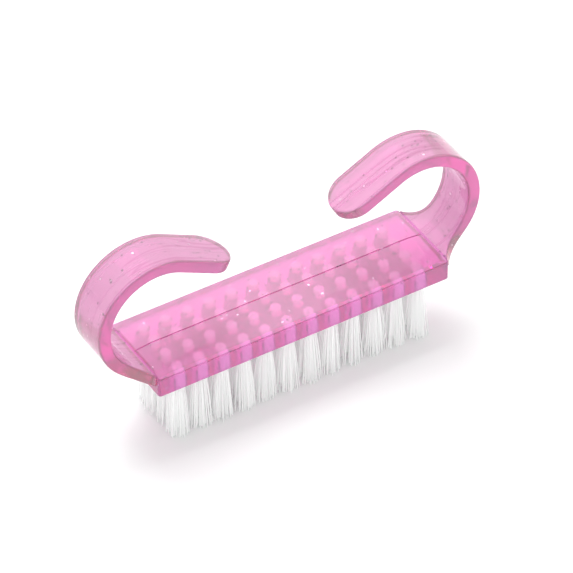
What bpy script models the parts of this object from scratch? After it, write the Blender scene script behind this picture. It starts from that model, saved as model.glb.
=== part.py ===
"""Hand nail brush: one moulded plastic body with two curled finger handles, and 48 bristle tufts.

Frame: +X runs along the plate, +Y across it and +Z up. The origin is on the ground under the plate's
centre, where the bristle tips touch. Lengths are in metres.
"""
import math

import bmesh
import bpy
from mathutils import Matrix, Vector

MM = 0.001
NAME = "nail_brush"

# Plate: side walls with a chamfer on top, and a top that rises to a low ridge along the middle.
PLATE_LENGTH = 55.0 * MM
PLATE_WIDTH = 15.8 * MM
SIDE_HEIGHT = 3.7 * MM
TOP_CHAMFER = 0.5 * MM
BOTTOM_CHAMFER = 0.25 * MM
RIDGE_RISE = 0.3 * MM
RIDGE_END_SLOPE = 2.6 * MM
CORNER_RADIUS = 0.5 * MM
TOP_CORNER_CUT = 1.8 * MM

# Bristle field: rows across Y, columns along X.
FREE_LENGTH = 11.6 * MM
ROWS = 4
COLUMNS = 12
ROW_PITCH = 3.45 * MM
COLUMN_PITCH = 4.13 * MM
SOCKET_RADIUS = 0.9 * MM
SOCKET_DEPTH = 2.2 * MM
SOCKET_GAP = 0.25 * MM
TUFT_NECK_RADIUS = 1.1 * MM
TUFT_NECK_DROP = 2.4 * MM
TUFT_TIP_RADIUS = 1.45 * MM
ROUND_SIDES = 12

# Curled handle: a band that leaves the plate's end, turns over in two arcs and ends in a straight tongue.
ROOT_SINK = 3.0 * MM
ROOT_OFFSET = 0.25 * MM
ROOT_DROP = 0.65 * MM
ROOT_RISE_DEG = 13.3
ROOT_ARC_RADIUS = 8.55 * MM
ROOT_ARC_DEG = 31.3
CURL_RADIUS = 10.1 * MM
CURL_DEG = 161.5
TONGUE_LENGTH = 11.2 * MM
ROOT_HALF_WIDTH = 7.2 * MM
BAND_HALF_WIDTH = 4.15 * MM
FLARE_LENGTH = 6.3 * MM
TIP_LENGTH = 4.4 * MM
ROOT_THICKNESS = 2.0 * MM
BAND_THICKNESS = 2.3 * MM
THICKENING_LENGTH = 10.0 * MM
BAND_CHAMFER = 0.35 * MM
ROOT_STEP_DEG = 4.5
CURL_STEP_DEG = 7.0
TIP_STEPS = 5
TIP_SWEEP_DEG = 78.0

PLATE_BOTTOM = FREE_LENGTH
SHOULDER = PLATE_BOTTOM + SIDE_HEIGHT

BODY_COLOUR = (0.83, 0.31, 0.58, 1.0)
BRISTLE_COLOUR = (0.86, 0.87, 0.87, 1.0)


def clear_scene():
    for thing in list(bpy.data.objects):
        bpy.data.objects.remove(thing, do_unlink=True)


def new_collection(name):
    collection = bpy.data.collections.new(name)
    bpy.context.scene.collection.children.link(collection)
    return collection


def plastic(name, colour, roughness, transmission):
    material = bpy.data.materials.new(name)
    material.use_nodes = True
    shader = material.node_tree.nodes["Principled BSDF"]
    shader.inputs["Base Color"].default_value = colour
    shader.inputs["Roughness"].default_value = roughness
    shader.inputs["Metallic"].default_value = 0.0
    shader.inputs["Transmission Weight"].default_value = transmission
    material.diffuse_color = colour
    return material


def mesh_from_bmesh(name, shape):
    mesh = bpy.data.meshes.new(name)
    shape.normal_update()
    shape.to_mesh(mesh)
    shape.free()
    return mesh


def add_object(name, mesh, collection, material=None):
    thing = bpy.data.objects.new(name, mesh)
    collection.objects.link(thing)
    if material is not None:
        mesh.materials.append(material)
    return thing


def rounded_outline(half_length, half_width, radius, steps, height):
    """Points of a rectangle with its corners rounded, or cut straight where steps is 1."""
    points = []
    for quarter in range(4):
        along = 1 if quarter in (0, 3) else -1
        across = 1 if quarter in (0, 1) else -1
        for step in range(steps + 1):
            angle = math.radians(90 * (quarter + step / steps))
            x = along * (half_length - radius) + radius * math.cos(angle)
            y = across * (half_width - radius) + radius * math.sin(angle)
            points.append(Vector((x, y, height)))
    return points


def build_plate(collection, material):
    half_length = PLATE_LENGTH / 2
    half_width = PLATE_WIDTH / 2
    inset = BOTTOM_CHAMFER
    points = rounded_outline(half_length - inset, half_width - inset, CORNER_RADIUS, 3, PLATE_BOTTOM)
    for height in (PLATE_BOTTOM + BOTTOM_CHAMFER, SHOULDER):
        points += rounded_outline(half_length, half_width, CORNER_RADIUS, 3, height)
    top = SHOULDER + TOP_CHAMFER
    points += rounded_outline(half_length - TOP_CHAMFER, half_width - TOP_CHAMFER, TOP_CORNER_CUT, 1, top)
    ridge_end = half_length - TOP_CHAMFER - RIDGE_END_SLOPE
    points += [Vector((side * ridge_end, 0, top + RIDGE_RISE)) for side in (-1, 1)]

    shape = bmesh.new()
    for point in points:
        shape.verts.new(point)
    hull = bmesh.ops.convex_hull(shape, input=shape.verts)
    bmesh.ops.delete(shape, geom=hull["geom_interior"], context="VERTS")
    bmesh.ops.dissolve_limit(shape, angle_limit=math.radians(0.5), verts=shape.verts, edges=shape.edges)
    bmesh.ops.recalc_face_normals(shape, faces=shape.faces)
    return add_object("body", mesh_from_bmesh("body", shape), collection, material)


def handle_stations():
    """Places along the band's middle line, as (x, z, heading, distance from the first arc's start)."""
    heading = math.radians(ROOT_RISE_DEG)
    x = PLATE_LENGTH / 2 + ROOT_OFFSET
    z = SHOULDER - ROOT_DROP
    sink_x = x - ROOT_SINK * math.cos(heading)
    sink_z = z - ROOT_SINK * math.sin(heading)
    stations = [(sink_x, sink_z, heading, -ROOT_SINK), (x, z, heading, 0.0)]
    distance = 0.0
    arcs = ((ROOT_ARC_RADIUS, ROOT_ARC_DEG, ROOT_STEP_DEG), (CURL_RADIUS, CURL_DEG, CURL_STEP_DEG))
    for radius, degrees, step_degrees in arcs:
        steps = math.ceil(degrees / step_degrees)
        turn = math.radians(degrees) / steps
        chord = 2 * radius * math.sin(turn / 2)
        for _ in range(steps):
            x += chord * math.cos(heading + turn / 2)
            z += chord * math.sin(heading + turn / 2)
            heading += turn
            distance += radius * turn
            stations.append((x, z, heading, distance))
    for step in range(TIP_STEPS + 1):
        sweep = math.radians(TIP_SWEEP_DEG) * step / TIP_STEPS
        run = TONGUE_LENGTH - TIP_LENGTH * (1 - math.sin(sweep))
        tip_x = x + run * math.cos(heading)
        tip_z = z + run * math.sin(heading)
        stations.append((tip_x, tip_z, heading, distance + run))
    return stations


def band_half_width(distance, total):
    """Wide where it leaves the plate, narrowing in a hollow curve, then even, then half an ellipse."""
    flare = min(1.0, max(0.0, 1 - distance / FLARE_LENGTH))
    half_width = BAND_HALF_WIDTH + (ROOT_HALF_WIDTH - BAND_HALF_WIDTH) * flare ** 3
    into_tip = max(0.0, (distance - (total - TIP_LENGTH)) / TIP_LENGTH)
    return half_width * math.sqrt(1 - into_tip ** 2)


def band_thickness(distance):
    grown = min(1.0, max(0.0, distance / THICKENING_LENGTH))
    return ROOT_THICKNESS + (BAND_THICKNESS - ROOT_THICKNESS) * grown


def build_handle(name, side, collection, material):
    """A loft of chamfered rectangles along the band's middle line; side is 1 for +X and -1 for -X."""
    stations = handle_stations()
    total = ROOT_ARC_RADIUS * math.radians(ROOT_ARC_DEG) + CURL_RADIUS * math.radians(CURL_DEG)
    total += TONGUE_LENGTH
    cut = BAND_CHAMFER
    shape = bmesh.new()
    rings = []
    for x, z, heading, distance in stations:
        w = band_half_width(distance, total)
        t = band_thickness(distance) / 2
        section = [(w, t - cut), (w - cut, t), (cut - w, t), (-w, t - cut)]
        section += [(-w, cut - t), (cut - w, -t), (w - cut, -t), (w, cut - t)]
        ring = []
        for across, inward in section:
            px = x - inward * math.sin(heading)
            pz = z + inward * math.cos(heading)
            ring.append(shape.verts.new((side * px, across, pz)))
        rings.append(ring)
    count = len(rings[0])
    for ring, following in zip(rings, rings[1:]):
        for i in range(count):
            j = (i + 1) % count
            shape.faces.new((ring[i], ring[j], following[j], following[i]))
    shape.faces.new(rings[0])
    shape.faces.new(rings[-1])
    bmesh.ops.recalc_face_normals(shape, faces=shape.faces)
    return add_object(name, mesh_from_bmesh(name, shape), collection, material)


def socket_places():
    """Row, column and centre of each socket, rows counted from -Y and columns from -X."""
    for row in range(ROWS):
        for column in range(COLUMNS):
            x = (column - (COLUMNS - 1) / 2) * COLUMN_PITCH
            y = (row - (ROWS - 1) / 2) * ROW_PITCH
            yield row + 1, column + 1, x, y


def build_socket_cutter(collection):
    """All the blind sockets as one cutter that starts below the plate."""
    below = 1.0 * MM
    depth = SOCKET_DEPTH + below
    shape = bmesh.new()
    for _, _, x, y in socket_places():
        middle = PLATE_BOTTOM + SOCKET_DEPTH - depth / 2
        bmesh.ops.create_cone(
            shape, cap_ends=True, segments=ROUND_SIDES, radius1=SOCKET_RADIUS, radius2=SOCKET_RADIUS,
            depth=depth, matrix=Matrix.Translation((x, y, middle)))
    return as_cutter(add_object("socket_cutter", mesh_from_bmesh("socket_cutter", shape), collection))


def as_cutter(thing):
    thing.hide_render = True
    thing.display_type = "WIRE"
    return thing


def add_boolean(target, other, operation):
    modifier = target.modifiers.new(other.name, "BOOLEAN")
    modifier.operation = operation
    modifier.solver = "EXACT"
    modifier.object = other


def turned_mesh(name, profile, sides):
    """Mesh of a (radius, height) profile, listed from its top to its bottom, turned about Z."""
    outline = bpy.data.meshes.new(name + "_outline")
    outline.from_pydata([(r, 0, z) for r, z in profile], [(i, i + 1) for i in range(len(profile) - 1)], [])
    turner = bpy.data.objects.new(name + "_outline", outline)
    bpy.context.scene.collection.objects.link(turner)
    screw = turner.modifiers.new("turn", "SCREW")
    screw.steps = sides
    screw.render_steps = sides
    screw.use_merge_vertices = True
    screw.merge_threshold = 0.00001
    turned = bpy.data.meshes.new_from_object(turner.evaluated_get(bpy.context.evaluated_depsgraph_get()))
    turned.name = name
    bpy.data.objects.remove(turner, do_unlink=True)
    return turned


def build_tufts(collection, material):
    """One closed solid per tuft: a stem inside its socket, a neck, and a spread brush end at the ground."""
    stem_radius = SOCKET_RADIUS - SOCKET_GAP
    profile = [
        (0, PLATE_BOTTOM + SOCKET_DEPTH - SOCKET_GAP),
        (stem_radius, PLATE_BOTTOM + SOCKET_DEPTH - SOCKET_GAP),
        (stem_radius, PLATE_BOTTOM),
        (TUFT_NECK_RADIUS, PLATE_BOTTOM - TUFT_NECK_DROP),
        (TUFT_TIP_RADIUS, 0),
        (0, 0),
    ]
    mesh = turned_mesh("tuft", profile, ROUND_SIDES)
    mesh.materials.append(material)
    for row, column, x, y in socket_places():
        tuft = bpy.data.objects.new(f"tuft_r{row}_c{column:02d}", mesh)
        tuft.location = (x, y, 0)
        collection.objects.link(tuft)


def main():
    clear_scene()
    parts = new_collection(NAME)
    cutters = new_collection("cutters")
    body_plastic = plastic("tinted_plastic", BODY_COLOUR, 0.12, 0.8)
    bristle_nylon = plastic("bristle_nylon", BRISTLE_COLOUR, 0.45, 0.0)
    body = build_plate(parts, body_plastic)
    for name, side in (("handle_right", 1), ("handle_left", -1)):
        handle = as_cutter(build_handle(name, side, cutters, body_plastic))
        add_boolean(body, handle, "UNION")
    add_boolean(body, build_socket_cutter(cutters), "DIFFERENCE")
    build_tufts(parts, bristle_nylon)


main()
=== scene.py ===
"""Looks of the hand nail brush: clear pink moulded body, glitter, folded nylon tufts and their anchors.

Everything is in metres in the CAD model's frame: +X along the plate, +Y across it, +Z up from the
bristle tips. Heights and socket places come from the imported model's boxes; the body's own shape repeats
the driving dimensions of the CAD model.
"""
import math
import random

import bmesh
import bpy
from mathutils import Matrix, Vector


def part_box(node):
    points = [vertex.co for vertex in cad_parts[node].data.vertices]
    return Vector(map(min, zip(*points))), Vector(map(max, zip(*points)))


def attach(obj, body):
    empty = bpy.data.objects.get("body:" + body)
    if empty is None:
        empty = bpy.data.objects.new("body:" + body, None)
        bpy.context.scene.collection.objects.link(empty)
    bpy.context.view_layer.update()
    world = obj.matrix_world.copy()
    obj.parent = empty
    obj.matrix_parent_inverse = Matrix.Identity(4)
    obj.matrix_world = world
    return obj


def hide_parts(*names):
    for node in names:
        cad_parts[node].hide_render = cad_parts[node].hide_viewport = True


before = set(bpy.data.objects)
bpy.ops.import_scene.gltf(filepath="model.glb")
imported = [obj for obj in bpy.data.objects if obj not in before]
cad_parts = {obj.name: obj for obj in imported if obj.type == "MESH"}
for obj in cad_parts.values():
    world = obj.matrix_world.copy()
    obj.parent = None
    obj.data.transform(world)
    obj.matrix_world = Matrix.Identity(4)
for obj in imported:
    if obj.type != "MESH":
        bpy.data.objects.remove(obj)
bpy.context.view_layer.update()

MM = 0.001
ROOT = "root"

# The frame's own measures.
ROWS = 4
COLUMNS = 12
BODY_LOW, BODY_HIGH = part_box("body")
PLATE_BOTTOM = BODY_LOW.z
PLATE_WIDTH = BODY_HIGH.y - BODY_LOW.y

# Plate
PLATE_LENGTH = 55.0 * MM
SIDE_HEIGHT = 3.7 * MM
TOP_CHAMFER = 0.5 * MM
BOTTOM_CHAMFER = 0.25 * MM
RIDGE_RISE = 0.3 * MM
RIDGE_END_SLOPE = 2.6 * MM
CORNER_RADIUS = 0.5 * MM
TOP_CORNER_CUT = 1.8 * MM
EDGE_ROUNDING = 0.12 * MM
GROOVE_RADIUS = 0.14 * MM
SHOULDER = PLATE_BOTTOM + SIDE_HEIGHT

# Curled handle
ROOT_SINK = 3.0 * MM
ROOT_OFFSET = 0.25 * MM
ROOT_DROP = 0.65 * MM
ROOT_RISE_DEG = 13.3
ROOT_ARC_RADIUS = 8.55 * MM
ROOT_ARC_DEG = 31.3
CURL_RADIUS = 10.1 * MM
CURL_DEG = 161.5
TONGUE_LENGTH = 11.2 * MM
ROOT_HALF_WIDTH = 7.2 * MM
BAND_HALF_WIDTH = 4.15 * MM
FLARE_LENGTH = 6.3 * MM
TIP_LENGTH = 4.4 * MM
ROOT_THICKNESS = 2.0 * MM
BAND_THICKNESS = 2.3 * MM
THICKENING_LENGTH = 10.0 * MM
BAND_EDGE_RADIUS = 0.42 * MM
BAND_TRIM = 0.006 * MM
BAND_STEP_DEG = 1.3
EDGE_STEPS = 5
TIP_STEPS = 26

# Sockets, filaments and anchors
SOCKET_RADIUS = 0.9 * MM
SOCKET_DEPTH = 2.2 * MM
SOCKET_SIDES = 40
SOCKET_LEAD_IN = 0.1 * MM
SOCKET_END_ROUND = 0.18 * MM
SOCKET_ENTRY = 0.3 * MM
FILAMENT_RADIUS = 0.068 * MM
FILAMENT_SIDES = 6
FILAMENT_SPACING = 0.157 * MM
TUFT_REACH_ALONG = 2.2 * MM
TUFT_REACH_ACROSS = 1.95 * MM
TIP_CLEARANCE = 0.02 * MM
TIP_SCATTER_ALONG = 0.22 * MM
TIP_SCATTER_ACROSS = 0.20 * MM
TIP_SCATTER_UP = 0.18 * MM
FILAMENT_BOW = 0.07 * MM
FILAMENT_STEPS = 7
FOLD_STEPS = 6
TUFT_LEAN = 0.12 * MM
TUFT_SEED = 7
ANCHOR_WIDTH = 2.4 * MM
ANCHOR_THICKNESS = 0.28 * MM
ANCHOR_HEIGHT = 1.3 * MM

# Glitter
SILVER_FLAKES = 110
SILVER_SIZE = 0.5 * MM
SILVER_SEED = 11
DARK_FLAKES = 220
DARK_SIZE = 0.45 * MM
DARK_SEED = 23
FLAKE_THICKNESS = 0.03 * MM
FLAKE_TILT = 0.04
SHALLOWEST_FLAKE = 0.035 * MM
DEEPEST_FLAKE = 0.4 * MM

# Surface colours of the clear plastic, with painted shade and light in them: dark painted shade lines
# along the ridge and edges, sides painted deeper pink than the top, a brighter painted light strip on the
# chamfer, and handles painted darker than the plate with painted shade streaks. Light that crosses its
# depth turns pinker still.
WHITE = (1.0, 1.0, 1.0, 1.0)
PLATE_TOP = (0.81, 0.60, 0.74, 1.0)
PLATE_SIDE_PAINTED_SHADE = (0.80, 0.41, 0.77, 1.0)
CHAMFER_PAINTED_LIGHT = (1.0, 0.63, 0.95, 1.0)
PLATE_EDGE_PAINTED_SHADE = (0.62, 0.30, 0.56, 1.0)
RIDGE_PAINTED_SHADE = (0.62, 0.32, 0.52, 1.0)
HANDLE_TINT_PAINTED_DARKER = (0.68, 0.52, 0.59, 1.0)
PALE_HANDLE = (0.71, 0.56, 0.62, 1.0)
HANDLE_PAINTED_SHADE_STREAK = (0.58, 0.38, 0.47, 1.0)
HANDLE_SIDE_PAINTED_SHADE = (0.90, 0.46, 0.78, 1.0)
EDGE_SHADE = (0.80, 0.62, 0.74, 1.0)

# Materials
NOISE_LOW = 0.3
NOISE_HIGH = 0.7
CLEAR_SHARE = 0.68
PLASTIC_IOR = 1.5
DEPTH_COLOUR = (0.97, 0.0, 0.76, 1.0)
DEPTH_DENSITY = 400.0
SOCKET_WALL = (1.0, 0.94, 0.99, 1.0)
SOCKET_GLOW = (0.70, 1.0, 0.80, 1.0)
SOCKET_GLOW_STRENGTH = 0.4
NYLON_IOR = 1.53
NYLON_PAINTED_GLOW_STRENGTH = 0.04
GREYEST_NYLON = (0.905, 0.912, 0.908, 1.0)
WHITEST_NYLON = (0.955, 0.962, 0.958, 1.0)
SILVER_FOIL = (0.97, 0.97, 0.98, 1.0)
DARK_FOIL = (0.09, 0.01, 0.06, 1.0)
FOIL_ROUGHNESS = 0.3
ANCHOR_METAL = (0.62, 0.60, 0.57, 1.0)
FLOOR_COLOUR = (0.80, 0.82, 0.81, 1.0)

# Camera and surroundings
VIEW_AZIMUTH_DEG = -31.0
VIEW_ELEVATION_DEG = 40.86
VIEW_ROLL_DEG = -0.70
VIEW_DISTANCE = 825.0 * MM
AIM_RIGHT = 0.98 * MM
AIM_UP = 1.17 * MM
FOCAL_LENGTHS_PER_WIDTH = 8.871
DOME_BELOW = 0.88
DOME_ABOVE = 1.12
SOFTBOX_SIZE = 0.7
SOFTBOX_WATTS = 9.0
SOFTBOX_PLACE = (0.03, 0.42, 0.9)


def new_material(name):
    material = bpy.data.materials.new(name)
    material.use_nodes = True
    return material, material.node_tree.nodes, material.node_tree.links


def set_shader(shader, **values):
    """Sets Principled sockets by name, with underscores for spaces."""
    for name, value in values.items():
        shader.inputs[name.replace("_", " ")].default_value = value


def noise(nodes, links, scale, detail):
    texture = nodes.new("ShaderNodeTexNoise")
    place = nodes.new("ShaderNodeTexCoord")
    texture.inputs["Scale"].default_value = scale
    texture.inputs["Detail"].default_value = detail
    links.new(place.outputs["Object"], texture.inputs["Vector"])
    return texture.outputs["Fac"]


def spread(nodes, links, value, low, high):
    """Stretches the range that a noise mostly covers over low to high."""
    remap = nodes.new("ShaderNodeMapRange")
    remap.inputs["From Min"].default_value = NOISE_LOW
    remap.inputs["From Max"].default_value = NOISE_HIGH
    remap.inputs["To Min"].default_value = low
    remap.inputs["To Max"].default_value = high
    links.new(value, remap.inputs["Value"])
    return remap.outputs["Result"]


def add_bump(nodes, links, shader, height, strength, distance):
    bump = nodes.new("ShaderNodeBump")
    bump.inputs["Strength"].default_value = strength
    bump.inputs["Distance"].default_value = distance
    links.new(height, bump.inputs["Height"])
    links.new(bump.outputs["Normal"], shader.inputs["Normal"])


def band_mask(nodes, links, value, low, high):
    """Rises from 0 at low to 1 at high, for a distance in metres."""
    mask = nodes.new("ShaderNodeMapRange")
    mask.inputs["From Min"].default_value = low
    mask.inputs["From Max"].default_value = high
    links.new(value, mask.inputs["Value"])
    return mask.outputs["Result"]


def blend(nodes, links, mask, below, above):
    """One colour where the mask is 0, another where it is 1; each is a colour or another node's output."""
    mix = nodes.new("ShaderNodeMix")
    mix.data_type = "RGBA"
    links.new(mask, mix.inputs["Factor"])
    for name, colour in (("A", below), ("B", above)):
        if isinstance(colour, tuple):
            mix.inputs[name].default_value = colour
        else:
            links.new(colour, mix.inputs[name])
    return mix.outputs["Result"]


def ramp(nodes, links, value, stops):
    """Colours along a 0 to 1 value, given as (position, colour)."""
    colours = nodes.new("ShaderNodeValToRGB")
    elements = colours.color_ramp.elements
    while len(elements) < len(stops):
        elements.new(0.5)
    for element, (position, colour) in zip(elements, stops):
        element.position = position
        element.color = colour
    links.new(value, colours.inputs["Fac"])
    return colours.outputs["Color"]


def absolute(nodes, links, value):
    """The size of a value, whatever its sign."""
    size = nodes.new("ShaderNodeMath")
    size.operation = "ABSOLUTE"
    links.new(value, size.inputs[0])
    return size.outputs["Value"]


def multiply(nodes, links, first, second):
    """Two colours multiplied together."""
    mix = nodes.new("ShaderNodeMix")
    mix.data_type = "RGBA"
    mix.blend_type = "MULTIPLY"
    mix.inputs["Factor"].default_value = 1.0
    links.new(first, mix.inputs["A"])
    links.new(second, mix.inputs["B"])
    return mix.outputs["Result"]


def painted_handle_streaks(nodes, links):
    """Thin broken streaks of painted shade along the handles, on the handles' darker tint with paler
    patches; they stand for the band's edges seen through the clear plastic.
    """
    place = nodes.new("ShaderNodeTexCoord")
    along = nodes.new("ShaderNodeMapping")
    along.inputs["Scale"].default_value = (0.05, 1.0, 0.05)
    links.new(place.outputs["Object"], along.inputs["Vector"])
    streak_noise = nodes.new("ShaderNodeTexNoise")
    streak_noise.inputs["Scale"].default_value = 420.0
    links.new(along.outputs["Vector"], streak_noise.inputs["Vector"])
    return ramp(nodes, links, streak_noise.outputs["Fac"], [
        (0.475, HANDLE_TINT_PAINTED_DARKER), (0.50, HANDLE_PAINTED_SHADE_STREAK), (0.525, HANDLE_TINT_PAINTED_DARKER), (0.60, PALE_HANDLE)])


def pink_tint(nodes, links):
    """Surface colour with painted shade and light: the plate with painted shade lines along its ridge,
    edges and ends, its sides painted deeper pink than its top and a painted light strip on its chamfer;
    the handles tinted darker than the plate as painted shade, with painted shade streaks, painted shade
    lines near their edges and side faces painted deeper pink.
    """
    place = nodes.new("ShaderNodeSeparateXYZ")
    links.new(nodes.new("ShaderNodeTexCoord").outputs["Object"], place.inputs["Vector"])
    off_centre = absolute(nodes, links, place.outputs["Y"])
    off_middle = absolute(nodes, links, place.outputs["X"])
    height = place.outputs["Z"]
    # Painted shade: a dark line along the ridge's groove.
    off_ridge = band_mask(nodes, links, off_centre, 0.5 * GROOVE_RADIUS, GROOVE_RADIUS)
    plate = blend(nodes, links, off_ridge, RIDGE_PAINTED_SHADE, PLATE_TOP)
    # Painted shade and light on the plate's sides: dark lines along the bottom edge and below the chamfer,
    # the side painted deeper pink than the top, and a brighter painted light strip on the chamfer.
    up_side = band_mask(nodes, links, height, PLATE_BOTTOM, SHOULDER + TOP_CHAMFER)
    side = ramp(nodes, links, up_side, [
        (0.02, PLATE_EDGE_PAINTED_SHADE), (0.07, PLATE_SIDE_PAINTED_SHADE), (0.83, PLATE_SIDE_PAINTED_SHADE),
        (0.86, PLATE_EDGE_PAINTED_SHADE), (0.89, PLATE_EDGE_PAINTED_SHADE), (0.91, CHAMFER_PAINTED_LIGHT)])
    half_width = PLATE_WIDTH / 2
    half_length = PLATE_LENGTH / 2
    on_side = band_mask(nodes, links, off_centre, half_width - TOP_CHAMFER, half_width - 0.4 * MM)
    plate = blend(nodes, links, on_side, plate, side)
    # Painted shade: a dark line across each end of the plate, where the handles join it.
    at_end = band_mask(nodes, links, off_middle, half_length - 0.3 * MM, half_length - 0.2 * MM)
    plate = blend(nodes, links, at_end, plate, PLATE_EDGE_PAINTED_SHADE)
    # Painted shade on the handles: a dark line near each edge of the band, and the band's side faces
    # painted deeper pink than its top.
    across_band = band_mask(nodes, links, off_centre, 0, BAND_HALF_WIDTH)
    edges = ramp(nodes, links, across_band, [(0.86, WHITE), (0.89, EDGE_SHADE), (0.92, WHITE)])
    on_band_side = band_mask(nodes, links, off_centre, BAND_HALF_WIDTH - 0.3 * MM, BAND_HALF_WIDTH)
    # The handles are tinted darker than the plate as painted shade, with painted lengthwise streaks of
    # shade.
    handle_with_painted_streaks = painted_handle_streaks(nodes, links)
    band = multiply(nodes, links, blend(nodes, links, on_band_side, handle_with_painted_streaks, HANDLE_SIDE_PAINTED_SHADE), edges)
    above_flare = band_mask(nodes, links, height, SHOULDER + 1.0 * MM, SHOULDER + 2.5 * MM)
    handle = blend(nodes, links, above_flare, handle_with_painted_streaks, band)
    past_end = band_mask(nodes, links, off_middle, half_length, half_length + 0.1 * MM)
    over_plate = SHOULDER + 2 * TOP_CHAMFER
    above = band_mask(nodes, links, height, over_plate, SHOULDER + 3 * TOP_CHAMFER)
    on_handle = nodes.new("ShaderNodeMath")
    on_handle.operation = "MAXIMUM"
    links.new(past_end, on_handle.inputs[0])
    links.new(above, on_handle.inputs[1])
    return blend(nodes, links, on_handle.outputs["Value"], plate, handle)


def pink_plastic():
    """Clear plastic over a tinted diffuse share, which also absorbs light along its depth."""
    material, nodes, links = new_material("clear_pink_plastic")
    shader = nodes["Principled BSDF"]
    set_shader(shader, Transmission_Weight=CLEAR_SHARE, IOR=PLASTIC_IOR)
    links.new(pink_tint(nodes, links), shader.inputs["Base Color"])
    waviness = noise(nodes, links, 260.0, 2.0)
    links.new(spread(nodes, links, waviness, 0.01, 0.03), shader.inputs["Roughness"])
    add_bump(nodes, links, shader, noise(nodes, links, 420.0, 1.0), 0.12, 0.1 * MM)
    depth = nodes.new("ShaderNodeVolumeAbsorption")
    depth.inputs["Color"].default_value = DEPTH_COLOUR
    depth.inputs["Density"].default_value = DEPTH_DENSITY
    links.new(depth.outputs["Volume"], nodes["Material Output"].inputs["Volume"])
    return material


def frosted_plastic():
    """The rough walls of the sockets, seen through the clear plastic as pale rounds and bars.

    They are opaque, and a weak glow stands for the light that the filaments carry up to them.
    """
    material, nodes, links = new_material("frosted_pink_plastic")
    shader = nodes["Principled BSDF"]
    set_shader(shader, Base_Color=SOCKET_WALL, IOR=PLASTIC_IOR)
    set_shader(shader, Emission_Color=SOCKET_GLOW, Emission_Strength=SOCKET_GLOW_STRENGTH)
    grain = noise(nodes, links, 3000.0, 2.0)
    links.new(spread(nodes, links, grain, 0.5, 0.8), shader.inputs["Roughness"])
    add_bump(nodes, links, shader, grain, 0.3, 0.03 * MM)
    return material


def nylon():
    """White filaments that differ a little from one to the next, with a faint painted glow that stands for
    light passing through the translucent nylon.
    """
    material, nodes, links = new_material("white_nylon")
    shader = nodes["Principled BSDF"]
    # Painted light: a faint glow on every filament.
    set_shader(shader, IOR=NYLON_IOR, Emission_Color=WHITE, Emission_Strength=NYLON_PAINTED_GLOW_STRENGTH)
    strand = nodes.new("ShaderNodeNewGeometry")
    tone = nodes.new("ShaderNodeValToRGB")
    tone.color_ramp.elements[0].color = GREYEST_NYLON
    tone.color_ramp.elements[1].color = WHITEST_NYLON
    links.new(strand.outputs["Random Per Island"], tone.inputs["Fac"])
    links.new(tone.outputs["Color"], shader.inputs["Base Color"])
    along = noise(nodes, links, 900.0, 1.0)
    links.new(spread(nodes, links, along, 0.28, 0.5), shader.inputs["Roughness"])
    return material


def foil(name, colour):
    """Metallised film, faintly mottled."""
    material, nodes, links = new_material(name)
    shader = nodes["Principled BSDF"]
    set_shader(shader, Base_Color=colour, Metallic=1.0)
    mottle = noise(nodes, links, 2500.0, 1.0)
    roughness = spread(nodes, links, mottle, FOIL_ROUGHNESS * 0.7, FOIL_ROUGHNESS * 1.4)
    links.new(roughness, shader.inputs["Roughness"])
    return material


def anchor_metal():
    """Drawn flat wire with fine lengthwise scratches."""
    material, nodes, links = new_material("anchor_metal")
    shader = nodes["Principled BSDF"]
    set_shader(shader, Base_Color=ANCHOR_METAL, Metallic=1.0)
    scratches = noise(nodes, links, 1800.0, 3.0)
    links.new(spread(nodes, links, scratches, 0.25, 0.45), shader.inputs["Roughness"])
    add_bump(nodes, links, shader, scratches, 0.2, 0.02 * MM)
    return material


def link_object(name, mesh, material=None):
    thing = bpy.data.objects.new(name, mesh)
    bpy.context.scene.collection.objects.link(thing)
    if material is not None:
        mesh.materials.append(material)
    return thing


def mesh_from_bmesh(name, shape):
    mesh = bpy.data.meshes.new(name)
    shape.normal_update()
    shape.to_mesh(mesh)
    shape.free()
    return mesh


def evaluated_mesh(thing):
    """The object's mesh with its modifiers in it."""
    return bpy.data.meshes.new_from_object(thing.evaluated_get(bpy.context.evaluated_depsgraph_get()))


def rounded_outline(half_length, half_width, radius, steps, height):
    """Points of a rectangle with its corners rounded, or cut straight where steps is 1."""
    points = []
    for quarter in range(4):
        along = 1 if quarter in (0, 3) else -1
        across = 1 if quarter in (0, 1) else -1
        for step in range(steps + 1):
            angle = math.radians(90 * (quarter + step / steps))
            x = along * (half_length - radius) + radius * math.cos(angle)
            y = across * (half_width - radius) + radius * math.sin(angle)
            points.append(Vector((x, y, height)))
    return points


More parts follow.
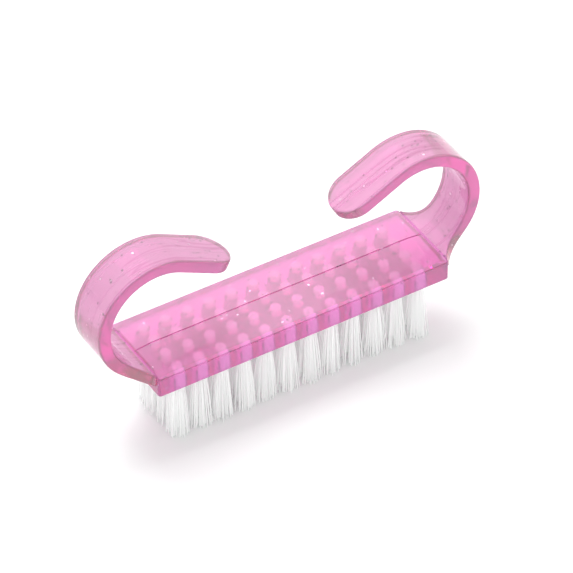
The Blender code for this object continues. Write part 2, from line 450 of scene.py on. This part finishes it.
def plate_blank():
    """The plate before its handles and sockets, with every edge slightly rounded."""
    half_length = PLATE_LENGTH / 2
    half_width = PLATE_WIDTH / 2
    inset = BOTTOM_CHAMFER
    points = rounded_outline(half_length - inset, half_width - inset, CORNER_RADIUS, 6, PLATE_BOTTOM)
    for height in (PLATE_BOTTOM + BOTTOM_CHAMFER, SHOULDER):
        points += rounded_outline(half_length, half_width, CORNER_RADIUS, 6, height)
    top = SHOULDER + TOP_CHAMFER
    points += rounded_outline(half_length - TOP_CHAMFER, half_width - TOP_CHAMFER, TOP_CORNER_CUT, 1, top)
    ridge_end = half_length - TOP_CHAMFER - RIDGE_END_SLOPE
    points += [Vector((side * ridge_end, 0, top + RIDGE_RISE)) for side in (-1, 1)]
    shape = bmesh.new()
    for point in points:
        shape.verts.new(point)
    hull = bmesh.ops.convex_hull(shape, input=shape.verts)
    bmesh.ops.delete(shape, geom=hull["geom_interior"], context="VERTS")
    bmesh.ops.dissolve_limit(shape, angle_limit=math.radians(0.5), verts=shape.verts, edges=shape.edges)
    bmesh.ops.recalc_face_normals(shape, faces=shape.faces)
    blank = link_object("plate_blank", mesh_from_bmesh("plate_blank", shape))
    bevel = blank.modifiers.new("edges", "BEVEL")
    bevel.width = EDGE_ROUNDING
    bevel.segments = 3
    bevel.limit_method = "ANGLE"
    bevel.angle_limit = math.radians(20)
    return blank


def middle_line():
    """Places along the band's middle as (x, z, heading, distance), up to where its tongue starts."""
    heading = math.radians(ROOT_RISE_DEG)
    x = PLATE_LENGTH / 2 + ROOT_OFFSET
    z = SHOULDER - ROOT_DROP
    sink_x = x - ROOT_SINK * math.cos(heading)
    sink_z = z - ROOT_SINK * math.sin(heading)
    places = [(sink_x, sink_z, heading, -ROOT_SINK), (x, z, heading, 0.0)]
    distance = 0.0
    for radius, degrees in ((ROOT_ARC_RADIUS, ROOT_ARC_DEG), (CURL_RADIUS, CURL_DEG)):
        steps = math.ceil(degrees / BAND_STEP_DEG)
        turn = math.radians(degrees) / steps
        chord = 2 * radius * math.sin(turn / 2)
        for _ in range(steps):
            x += chord * math.cos(heading + turn / 2)
            z += chord * math.sin(heading + turn / 2)
            heading += turn
            distance += radius * turn
            places.append((x, z, heading, distance))
    return places


def band_half_width(distance):
    """Wide where it leaves the plate, narrowing in a hollow curve, then even."""
    flare = min(1.0, max(0.0, 1 - distance / FLARE_LENGTH))
    return BAND_HALF_WIDTH + (ROOT_HALF_WIDTH - BAND_HALF_WIDTH) * flare ** 3


def band_half_thickness(distance):
    """Half the band's thickness, trimmed because its fine steps bulge past the CAD model's flats."""
    grown = min(1.0, max(0.0, distance / THICKENING_LENGTH))
    return (ROOT_THICKNESS + (BAND_THICKNESS - ROOT_THICKNESS) * grown) / 2 - BAND_TRIM


def band_section():
    """Points round a rounded rectangle.

    Each is (share of the half width, inset, which side, share of the corner).
    """
    corner = [math.radians(90 * step / EDGE_STEPS) for step in range(EDGE_STEPS + 1)]
    flat = (0.9, 0.6, 0.2, -0.2, -0.6, -0.9)
    points = []
    for level in (1, -1):
        rise = [(level, BAND_EDGE_RADIUS * (1 - math.cos(a)), level, math.sin(a)) for a in corner]
        middle = [(level * share, BAND_EDGE_RADIUS, level, 1.0) for share in flat]
        fall = [(-level, inset, side, lift) for _, inset, side, lift in reversed(rise)]
        points += rise + middle + fall
    return points


def band_blank(name, side):
    """A curled handle as a fine loft; side is 1 for +X and -1 for -X."""
    section = band_section()
    shape = bmesh.new()
    rings = []

    def add_ring(place_of):
        ring = []
        for share, inset, level, lift in section:
            x, z, heading, distance, half_width = place_of(inset)
            inward = level * (band_half_thickness(distance) - BAND_EDGE_RADIUS * (1 - lift))
            px = x - inward * math.sin(heading)
            pz = z + inward * math.cos(heading)
            ring.append(shape.verts.new((side * px, share * half_width, pz)))
        rings.append(ring)

    places = middle_line()
    for x, z, heading, distance in places:
        add_ring(lambda inset: (x, z, heading, distance, band_half_width(distance) - inset))
    start_x, start_z, heading, start_distance = places[-1]
    straight = TONGUE_LENGTH - TIP_LENGTH
    for step in range(TIP_STEPS + 1):
        sweep = math.radians(90 * step / TIP_STEPS)

        def tip_place(inset):
            run = straight + (TIP_LENGTH - inset) * math.sin(sweep)
            x = start_x + run * math.cos(heading)
            z = start_z + run * math.sin(heading)
            return x, z, heading, start_distance + run, (BAND_HALF_WIDTH - inset) * math.cos(sweep)

        add_ring(tip_place)
    count = len(section)
    for ring, following in zip(rings, rings[1:]):
        for i in range(count):
            j = (i + 1) % count
            shape.faces.new((ring[i], ring[j], following[j], following[i]))
    shape.faces.new(rings[0])
    bmesh.ops.remove_doubles(shape, verts=shape.verts, dist=0.001 * MM)
    bmesh.ops.recalc_face_normals(shape, faces=shape.faces)
    return link_object(name, mesh_from_bmesh(name, shape))


def lathe(shape, profile, sides, centre):
    """Adds a closed turned body to shape from a (radius, height) profile whose ends lie on the axis."""
    rings = []
    for radius, height in profile:
        if radius == 0:
            rings.append([shape.verts.new(centre + Vector((0, 0, height)))])
            continue
        angles = [2 * math.pi * i / sides for i in range(sides)]
        rings.append([
            shape.verts.new(centre + Vector((radius * math.cos(a), radius * math.sin(a), height)))
            for a in angles])
    for ring, following in zip(rings, rings[1:]):
        for i in range(sides):
            j = (i + 1) % sides
            around = [ring[i % len(ring)], ring[j % len(ring)]]
            around += [following[j % len(following)], following[i % len(following)]]
            shape.faces.new(list(dict.fromkeys(around)))


def socket_centres():
    """Tuft node name and the middle of its socket's mouth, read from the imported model."""
    for row in range(1, ROWS + 1):
        for column in range(1, COLUMNS + 1):
            name = f"tuft_r{row}_c{column:02d}"
            low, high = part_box(name)
            yield name, Vector(((low.x + high.x) / 2, (low.y + high.y) / 2, PLATE_BOTTOM))


def socket_cutter():
    """All the sockets, each with a small lead-in at its mouth and a rounded closed end."""
    mouth = SOCKET_RADIUS + SOCKET_LEAD_IN
    profile = [(0, -1.0 * MM), (mouth, -1.0 * MM), (mouth, 0), (SOCKET_RADIUS, SOCKET_LEAD_IN)]
    for step in range(5):
        angle = math.radians(90 * step / 4)
        radius = SOCKET_RADIUS - SOCKET_END_ROUND * (1 - math.cos(angle))
        profile.append((radius, SOCKET_DEPTH - SOCKET_END_ROUND * (1 - math.sin(angle))))
    profile.append((0, SOCKET_DEPTH))
    shape = bmesh.new()
    for _, centre in socket_centres():
        lathe(shape, profile, SOCKET_SIDES, centre)
    bmesh.ops.recalc_face_normals(shape, faces=shape.faces)
    return link_object("socket_cutter", mesh_from_bmesh("socket_cutter", shape))


def ridge_groove():
    """A fine line cut along the ridge and down its two sloping ends."""
    half_length = PLATE_LENGTH / 2
    top = SHOULDER + TOP_CHAMFER
    ridge_end = half_length - TOP_CHAMFER - RIDGE_END_SLOPE
    path = [Vector((half_length, 0, top)), Vector((ridge_end, 0, top + RIDGE_RISE))]
    path += [Vector((-ridge_end, 0, top + RIDGE_RISE)), Vector((-half_length, 0, top))]
    vertices = []
    faces = []
    sweep_tube(path, GROOVE_RADIUS, 8, vertices, faces)
    mesh = bpy.data.meshes.new("ridge_groove")
    mesh.from_pydata(vertices, [], faces)
    return link_object("ridge_groove", mesh)


def is_socket_wall(place, sockets):
    """Whether a face's middle lies on the wall or the closed end of a socket."""
    if not PLATE_BOTTOM + 0.01 * MM < place.z < PLATE_BOTTOM + SOCKET_DEPTH + 0.01 * MM:
        return False
    reach = SOCKET_RADIUS + SOCKET_LEAD_IN
    return any(math.hypot(place.x - centre.x, place.y - centre.y) < reach for centre in sockets)


def build_body(clear, frosted):
    plate = plate_blank()
    tools = [(band_blank("handle_right", 1), "UNION"), (band_blank("handle_left", -1), "UNION")]
    tools += [(socket_cutter(), "DIFFERENCE"), (ridge_groove(), "DIFFERENCE")]
    for tool, operation in tools:
        boolean = plate.modifiers.new(tool.name, "BOOLEAN")
        boolean.operation = operation
        boolean.solver = "EXACT"
        boolean.object = tool
    mesh = evaluated_mesh(plate)
    mesh.name = "moulded_body"
    for blank in [plate] + [tool for tool, _ in tools]:
        bpy.data.objects.remove(blank, do_unlink=True)
    mesh.materials.clear()
    mesh.shade_smooth()
    mesh.set_sharp_from_angle(angle=math.radians(28))
    body = link_object("moulded_body", mesh, clear)
    mesh.materials.append(frosted)
    sockets = [centre for _, centre in socket_centres()]
    for face in mesh.polygons:
        if is_socket_wall(face.center, sockets):
            face.material_index = 1
    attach(body, ROOT)
    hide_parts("body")
    return body


def half_disc_places(radius, gap, spacing, rng):
    """Places on a close-packed grid in the +Y half of a disc, clear of the anchor in its middle."""
    places = []
    rows = math.ceil(radius / spacing)
    for row in range(rows):
        y = gap + row * spacing * math.sqrt(3) / 2
        shift = spacing / 2 * (row % 2)
        for column in range(-rows, rows + 1):
            x = column * spacing + shift
            if math.hypot(x, y) <= radius:
                wobble = 0.12 * spacing
                places.append((x + rng.uniform(-wobble, wobble), y + rng.uniform(-wobble, wobble)))
    return places


def free_end(base, centre, lean, rng):
    """Points of a filament from its tip up to the socket's mouth; base is its place in the socket."""
    tip_x = base[0] * TUFT_REACH_ALONG / SOCKET_RADIUS + lean[0] + rng.gauss(0, TIP_SCATTER_ALONG)
    tip_y = base[1] * TUFT_REACH_ACROSS / SOCKET_RADIUS + lean[1] + rng.gauss(0, TIP_SCATTER_ACROSS)
    tip_z = TIP_CLEARANCE + abs(rng.gauss(0, TIP_SCATTER_UP))
    bow_x = rng.gauss(0, FILAMENT_BOW)
    bow_y = rng.gauss(0, FILAMENT_BOW)
    points = []
    for step in range(FILAMENT_STEPS):
        up = step / FILAMENT_STEPS
        down = (1 - up) ** 0.6
        bow = math.sin(math.pi * up)
        x = base[0] + (tip_x - base[0]) * down + bow_x * bow
        y = base[1] + (tip_y - base[1]) * down + bow_y * bow
        z = tip_z + (PLATE_BOTTOM - tip_z) * up
        points.append(Vector((centre.x + x, centre.y + y, z)))
    return points


def folded_filament(place, centre, lean, rng):
    """A filament that comes up one side of its anchor, folds over it and goes down the other side."""
    x, y = place
    other = (x + rng.uniform(-0.04, 0.04) * MM, -y)
    fold_height = PLATE_BOTTOM + SOCKET_DEPTH - SOCKET_RADIUS
    path = free_end(place, centre, lean, rng)
    path.append(Vector((centre.x + x, centre.y + y, PLATE_BOTTOM + SOCKET_ENTRY)))
    for step in range(FOLD_STEPS + 1):
        angle = math.pi * step / FOLD_STEPS
        across = y * math.cos(angle)
        along = x + (other[0] - x) * step / FOLD_STEPS
        path.append(Vector((centre.x + along, centre.y + across, fold_height + y * math.sin(angle))))
    path.append(Vector((centre.x + other[0], centre.y - y, PLATE_BOTTOM + SOCKET_ENTRY)))
    path += reversed(free_end(other, centre, lean, rng))
    return path


def sweep_tube(path, radius, sides, vertices, faces):
    """Adds a closed round tube along path to the vertex and face lists."""
    first = len(vertices)
    normal = Vector((0.1, 1, 0))
    for i, point in enumerate(path):
        ahead = path[min(i + 1, len(path) - 1)]
        behind = path[max(i - 1, 0)]
        direction = (ahead - behind).normalized()
        normal = (normal - direction * normal.dot(direction)).normalized()
        across = direction.cross(normal)
        for side in range(sides):
            angle = 2 * math.pi * side / sides
            vertices.append(point + radius * (math.cos(angle) * normal + math.sin(angle) * across))
    for i in range(len(path) - 1):
        for side in range(sides):
            a = first + i * sides + side
            b = first + i * sides + (side + 1) % sides
            faces.append((a, b, b + sides, a + sides))
    last = first + (len(path) - 1) * sides
    faces.append(tuple(first + side for side in reversed(range(sides))))
    faces.append(tuple(last + side for side in range(sides)))


def build_tufts(material):
    rng = random.Random(TUFT_SEED)
    packing_radius = SOCKET_RADIUS - FILAMENT_RADIUS - 0.02 * MM
    gap = ANCHOR_THICKNESS / 2 + FILAMENT_RADIUS + 0.01 * MM
    for name, centre in socket_centres():
        vertices = []
        faces = []
        lean = (rng.gauss(0, TUFT_LEAN), rng.gauss(0, TUFT_LEAN))
        for place in half_disc_places(packing_radius, gap, FILAMENT_SPACING, rng):
            path = folded_filament(place, centre, lean, rng)
            sweep_tube(path, FILAMENT_RADIUS, FILAMENT_SIDES, vertices, faces)
        mesh = bpy.data.meshes.new("bristles")
        mesh.from_pydata(vertices, [], faces)
        tuft = link_object(name.replace("tuft", "bristles"), mesh, material)
        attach(tuft, ROOT)
        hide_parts(name)


def build_anchors(material):
    """A flat strip across each socket, wider than the socket so that its ends bite into the plastic."""
    top = PLATE_BOTTOM + SOCKET_DEPTH - SOCKET_RADIUS + 0.05 * MM
    for name, centre in socket_centres():
        shape = bmesh.new()
        bmesh.ops.create_cube(shape, size=1.0)
        size = Vector((ANCHOR_WIDTH, ANCHOR_THICKNESS, ANCHOR_HEIGHT))
        bmesh.ops.scale(shape, vec=size, verts=shape.verts)
        bmesh.ops.bevel(shape, geom=shape.edges, offset=0.06 * MM, segments=2, affect="EDGES")
        bmesh.ops.translate(shape, vec=(centre.x, centre.y, top - ANCHOR_HEIGHT / 2), verts=shape.verts)
        mesh = mesh_from_bmesh("anchor", shape)
        mesh.shade_smooth()
        mesh.set_sharp_from_angle(angle=math.radians(50))
        anchor = link_object(name.replace("tuft", "anchor"), mesh, material)
        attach(anchor, ROOT)


def surface_places(body, count, rng):
    """Random places a little below the body's outside, each with the outward direction there."""
    mesh = body.data
    mesh.calc_loop_triangles()
    sockets = [centre for _, centre in socket_centres()]
    reach = SOCKET_RADIUS + 0.3 * MM
    triangles = []
    for triangle in mesh.loop_triangles:
        middle = sum((mesh.vertices[i].co for i in triangle.vertices), Vector()) / 3
        low = middle.z < PLATE_BOTTOM + SOCKET_DEPTH + 0.1 * MM
        near = any(math.hypot(middle.x - c.x, middle.y - c.y) < reach for c in sockets)
        if middle.z > PLATE_BOTTOM + 0.1 * MM and not (low and near):
            triangles.append(triangle)
    chosen = rng.choices(triangles, weights=[triangle.area for triangle in triangles], k=count)
    for triangle in chosen:
        a, b, c = (mesh.vertices[i].co for i in triangle.vertices)
        first = math.sqrt(rng.random())
        second = rng.random()
        point = a * (1 - first) + b * (first * (1 - second)) + c * (first * second)
        depth = SHALLOWEST_FLAKE + (DEEPEST_FLAKE - SHALLOWEST_FLAKE) * rng.random() ** 3
        yield point - triangle.normal * depth, Vector(triangle.normal)


def build_glitter(name, body, count, size, seed, material):
    """Small hexagons of foil moulded in just below the body's surface, as one piece."""
    rng = random.Random(seed)
    shape = bmesh.new()
    for point, outward in surface_places(body, count, rng):
        turn = Matrix.Rotation(rng.uniform(0, math.pi), 4, "Z")
        wobble = Vector([rng.gauss(0, FLAKE_TILT) for _ in range(3)])
        tilt = (outward + wobble).to_track_quat("Z", "Y").to_matrix().to_4x4()
        radius = rng.uniform(0.6, 1.0) * size / 2
        if abs(point.y) + radius * math.hypot(outward.x, outward.z) > PLATE_WIDTH / 2:
            continue
        bmesh.ops.create_cone(
            shape, cap_ends=True, segments=6, radius1=radius, radius2=radius * 0.92,
            depth=FLAKE_THICKNESS, matrix=Matrix.Translation(point) @ tilt @ turn)
    glitter = link_object(name, mesh_from_bmesh(name, shape), material)
    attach(glitter, ROOT)


def build_floor():
    shape = bmesh.new()
    bmesh.ops.create_grid(shape, x_segments=1, y_segments=1, size=3.0)
    floor = link_object("floor", mesh_from_bmesh("floor", shape))
    material, nodes, _ = new_material("pale_floor")
    set_shader(nodes["Principled BSDF"], Base_Color=FLOOR_COLOUR, Roughness=0.9)
    floor.data.materials.append(material)


def view_axes():
    """Right, up and back directions of the camera, with its small roll."""
    azimuth = math.radians(VIEW_AZIMUTH_DEG)
    elevation = math.radians(VIEW_ELEVATION_DEG)
    level = math.cos(elevation)
    back = Vector((math.sin(azimuth) * level, -math.cos(azimuth) * level, math.sin(elevation)))
    right = Vector((math.cos(azimuth), math.sin(azimuth), 0))
    up = back.cross(right)
    roll = math.radians(VIEW_ROLL_DEG)
    rolled_right = right * math.cos(roll) + up * math.sin(roll)
    rolled_up = up * math.cos(roll) - right * math.sin(roll)
    return rolled_right, rolled_up, back


def build_camera():
    right, up, back = view_axes()
    camera = bpy.data.objects.new("camera", bpy.data.cameras.new("camera"))
    bpy.context.scene.collection.objects.link(camera)
    camera.data.lens = camera.data.sensor_width * FOCAL_LENGTHS_PER_WIDTH
    camera.data.clip_start = 0.05
    middle = Vector((0, 0, SHOULDER))
    place = middle + right * AIM_RIGHT + up * AIM_UP + back * VIEW_DISTANCE
    camera.matrix_world = Matrix.Translation(place) @ Matrix((right, up, back)).transposed().to_4x4()
    bpy.context.scene.camera = camera


def build_lights():
    """A bright white dome, and one large soft light above and behind the brush, to the camera's left."""
    world = bpy.data.worlds.new("studio")
    bpy.context.scene.world = world
    world.use_nodes = True
    nodes = world.node_tree.nodes
    links = world.node_tree.links
    direction = nodes.new("ShaderNodeTexCoord")
    split = nodes.new("ShaderNodeSeparateXYZ")
    brightness = nodes.new("ShaderNodeMapRange")
    brightness.inputs["To Min"].default_value = DOME_BELOW
    brightness.inputs["To Max"].default_value = DOME_ABOVE
    links.new(direction.outputs["Generated"], split.inputs["Vector"])
    links.new(split.outputs["Z"], brightness.inputs["Value"])
    links.new(brightness.outputs["Result"], nodes["Background"].inputs["Strength"])
    nodes["Background"].inputs["Color"].default_value = WHITE
    lamp = bpy.data.lights.new("softbox", "AREA")
    lamp.shape = "RECTANGLE"
    lamp.size = SOFTBOX_SIZE
    lamp.size_y = SOFTBOX_SIZE
    lamp.energy = SOFTBOX_WATTS
    softbox = bpy.data.objects.new("softbox", lamp)
    bpy.context.scene.collection.objects.link(softbox)
    softbox.visible_glossy = False
    softbox.location = SOFTBOX_PLACE
    softbox.rotation_euler = (-softbox.location).to_track_quat("-Z", "Y").to_euler()


def set_picture():
    """Plain colour rendering, and enough bounces for light to cross the clear plastic."""
    scene = bpy.context.scene
    scene.view_settings.view_transform = "Standard"
    scene.cycles.max_bounces = 32
    scene.cycles.diffuse_bounces = 24
    scene.cycles.transmission_bounces = 20
    scene.cycles.glossy_bounces = 8


build_camera()
build_lights()
build_floor()
set_picture()
body = build_body(pink_plastic(), frosted_plastic())
build_tufts(nylon())
build_anchors(anchor_metal())
silver = foil("silver_foil", SILVER_FOIL)
build_glitter("glitter_silver", body, SILVER_FLAKES, SILVER_SIZE, SILVER_SEED, silver)
dark = foil("dark_foil", DARK_FOIL)
build_glitter("glitter_dark", body, DARK_FLAKES, DARK_SIZE, DARK_SEED, dark)
